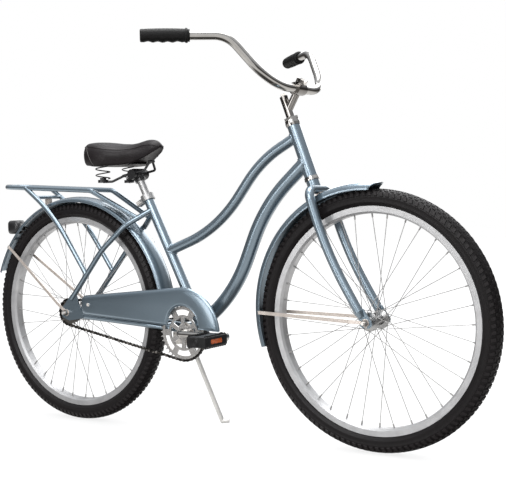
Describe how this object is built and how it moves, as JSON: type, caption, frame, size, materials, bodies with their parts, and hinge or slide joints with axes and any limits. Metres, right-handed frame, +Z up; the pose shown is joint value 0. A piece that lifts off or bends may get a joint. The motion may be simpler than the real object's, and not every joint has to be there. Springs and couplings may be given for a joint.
{
  "type": "beach cruiser bicycle",
  "caption": "Step-through beach cruiser bicycle with swept bars, wide sprung saddle, rear rack, fenders, chain guard, coaster hub and kickstand.",
  "frame": {"origin": "on the ground under the middle of the wheelbase", "axes": "+X forward, +Y to the rider's left, +Z up"},
  "size_m": [1.6677, 0.6958, 1.0698],
  "materials": {
    "paint": "metallic slate blue-grey enamel",
    "chrome": "polished plate",
    "steel": "zinc plated",
    "dark_steel": "dark oiled steel",
    "black_paint": "black enamel",
    "rim": "pale satin",
    "alloy": "satin",
    "tyre": "black moulded rubber",
    "rubber": "soft black rubber",
    "vinyl": "black stitched vinyl",
    "plastic": "black moulded plastic",
    "amber": "clear amber",
    "red": "clear red"
  },
  "bodies": {
    "frame": {"head_tube": "paint", "top_tube": "paint", "down_tube": "paint", "seat_tube": "paint", "bottom_bracket_shell": "paint", "bottom_bracket_cups": "steel", "chain_stays": "paint", "seat_stays": "paint", "dropouts": "paint", "rack_loop": "paint", "rack_struts": "paint", "rear_fender": "paint", "rear_fender_stays": "chrome", "rear_reflector": "plastic", "reflector_lens": "red", "chain_guard": "paint", "frame_bolts": "steel", "headset_cups": "chrome", "frame_bearings": "steel", "seat_clamp": "steel", "kickstand_bracket": "steel", "rear_axle": "steel", "rear_axle_nuts": "dark_steel", "coaster_brake_arm": "steel", "chain": "dark_steel"},
    "steering": {"fork_steerer": "paint", "fork_blades": "paint", "headset_nuts": "chrome", "front_fender": "paint", "front_fender_stays": "chrome", "front_axle": "steel", "front_axle_nuts": "dark_steel"},
    "stem": {"stem": "chrome", "stem_bolts": "steel"},
    "bars": {"handlebar": "chrome", "grips": "rubber"},
    "front_wheel": {"front_tyre": "tyre", "front_inner_tube": "rubber", "front_rim": "rim", "front_spokes": "steel", "front_hub": "alloy"},
    "rear_wheel": {"rear_tyre": "tyre", "rear_inner_tube": "rubber", "rear_rim": "rim", "rear_spokes": "steel", "rear_hub": "alloy"},
    "sprocket": {"rear_sprocket": "dark_steel"},
    "crank_set": {"crank": "chrome", "chainring": "steel"},
    "right_pedal": {"pedal_right": "plastic", "pedal_right_reflectors": "amber"},
    "left_pedal": {"pedal_left": "plastic", "pedal_left_reflectors": "amber"},
    "post": {"seat_post": "chrome", "saddle_clamp": "black_paint"},
    "saddle_carrier": {"saddle_rails": "black_paint", "saddle_springs": "steel"},
    "saddle_top": {"saddle_base": "plastic", "saddle_cover": "vinyl"},
    "kickstand": {"kickstand_leg": "chrome"}
  },
  "joints": [
    {"name": "steering", "type": "hinge", "parent": "frame", "child": "steering", "pos_m": [0.3332, 0, 0.6966], "axis": [-0.3322, 0, 0.9432], "range_deg": [-80, 80]},
    {"name": "stem_height", "type": "slide", "parent": "steering", "child": "stem", "axis": [-0.3322, 0, 0.9432], "range_m": [-0.005, 0.045]},
    {"name": "handlebar_tilt", "type": "hinge", "parent": "stem", "child": "bars", "pos_m": [0.304, 0, 0.926], "axis": [0, 1, 0], "range_deg": [-15, 15]},
    {"name": "front_wheel_spin", "type": "hinge", "parent": "steering", "child": "front_wheel", "pos_m": [0.504, 0, 0.33], "axis": [0, 1, 0], "continuous": true},
    {"name": "rear_wheel_spin", "type": "hinge", "parent": "frame", "child": "rear_wheel", "pos_m": [-0.504, 0, 0.33], "axis": [0, 1, 0], "continuous": true},
    {"name": "crank_spin", "type": "hinge", "parent": "frame", "child": "crank_set", "pos_m": [-0.0698, 0, 0.2835], "axis": [0, 1, 0], "continuous": true, "deforming": ["chain"]},
    {"name": "rear_sprocket_spin", "type": "hinge", "parent": "frame", "child": "sprocket", "pos_m": [-0.504, 0, 0.33], "axis": [0, 1, 0], "continuous": true},
    {"name": "pedal_right_spin", "type": "hinge", "parent": "crank_set", "child": "right_pedal", "pos_m": [0.0952, -0.1, 0.2835], "axis": [0, 1, 0], "continuous": true},
    {"name": "pedal_left_spin", "type": "hinge", "parent": "crank_set", "child": "left_pedal", "pos_m": [-0.2348, 0.1, 0.2835], "axis": [0, 1, 0], "continuous": true},
    {"name": "kickstand_fold", "type": "hinge", "parent": "frame", "child": "kickstand", "pos_m": [-0.109, 0.03, 0.256], "axis": [0.1909, 0.94, 0.2827], "range_deg": [0, 100]},
    {"name": "seat_post_height", "type": "slide", "parent": "frame", "child": "post", "axis": [-0.4384, 0, 0.8988], "range_m": [-0.005, 0.06]},
    {"name": "saddle_tilt", "type": "hinge", "parent": "post", "child": "saddle_carrier", "pos_m": [-0.251, 0, 0.733], "axis": [0, 1, 0], "range_deg": [-10, 10]},
    {"name": "saddle_bounce", "type": "hinge", "parent": "saddle_carrier", "child": "saddle_top", "pos_m": [-0.2, 0, 0.768], "axis": [0, -1, 0], "range_deg": [0, 3.5], "stiffness_Nm_per_rad": 900, "deforming": ["saddle_springs"]}
  ],
  "couplings": [
    {"joint": "rear_sprocket_spin", "follows": "crank_spin", "ratio": 2}
  ]
}
